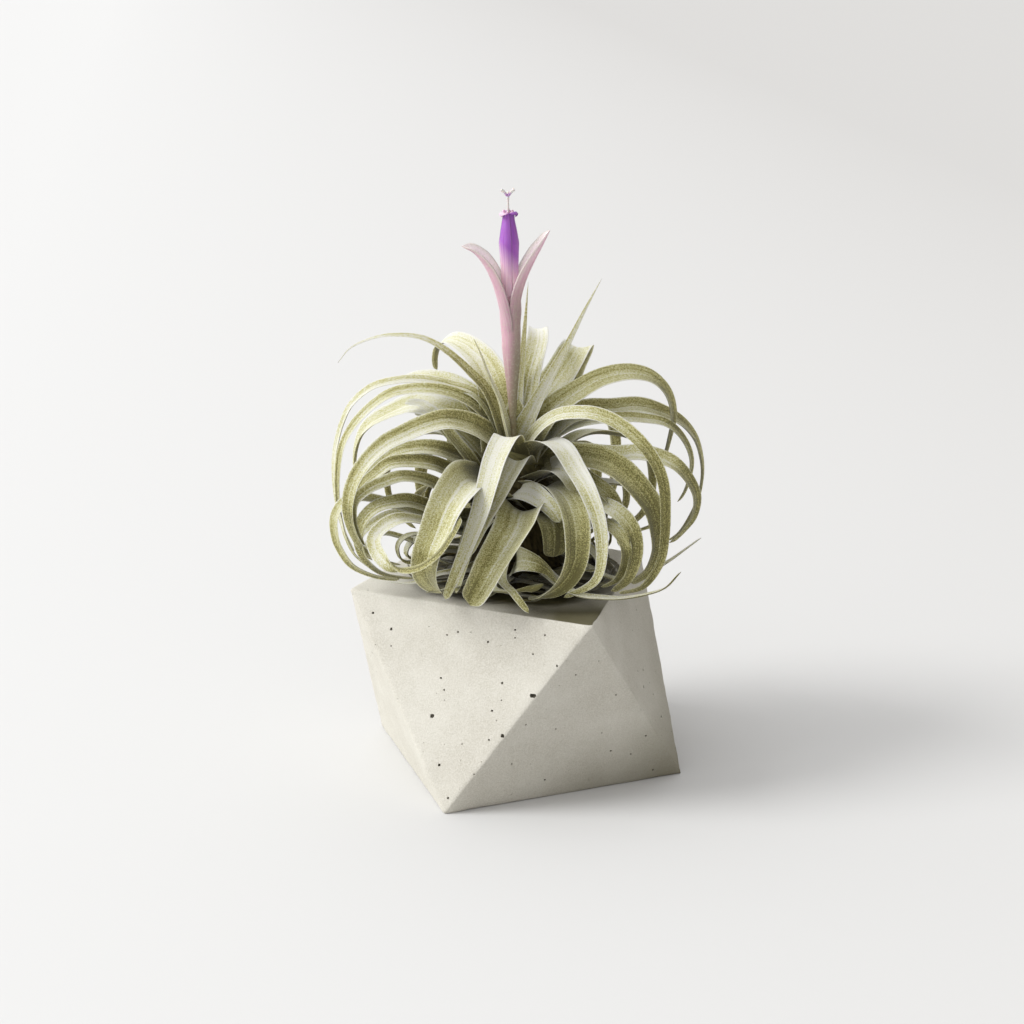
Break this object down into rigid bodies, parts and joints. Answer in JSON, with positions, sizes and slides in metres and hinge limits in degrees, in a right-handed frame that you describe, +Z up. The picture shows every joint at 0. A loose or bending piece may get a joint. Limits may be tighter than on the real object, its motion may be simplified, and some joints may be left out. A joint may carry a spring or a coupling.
{
  "type": "air plant in a faceted pot",
  "caption": "Curly-leaved air plant in bloom, with a pink scape and a purple tube flower, seated in a faceted concrete pot.",
  "frame": {"origin": "Middle of the pot's flat underside, where it rests on the table.", "axes": "+Z is up, through the pot and the flower. -Y is the front, +X is the plant's right as seen from the front."},
  "size_m": [0.1569, 0.14, 0.2406],
  "materials": {
    "concrete": "matt cast concrete with small air holes",
    "leaf": "soft sage green, frosted with fine pale scales",
    "bract": "smooth satin pink, paler at the edges",
    "petal": "satin purple petal",
    "anther": "matt pink-white pollen sacs",
    "style": "satin white stalk with pink lobes"
  },
  "bodies": {
    "root": {"pot": "concrete", "leaf_rosette": "leaf", "flower_scape": "bract", "corolla": "petal", "stamens": "anther", "style": "style"}
  },
  "joints": []
}
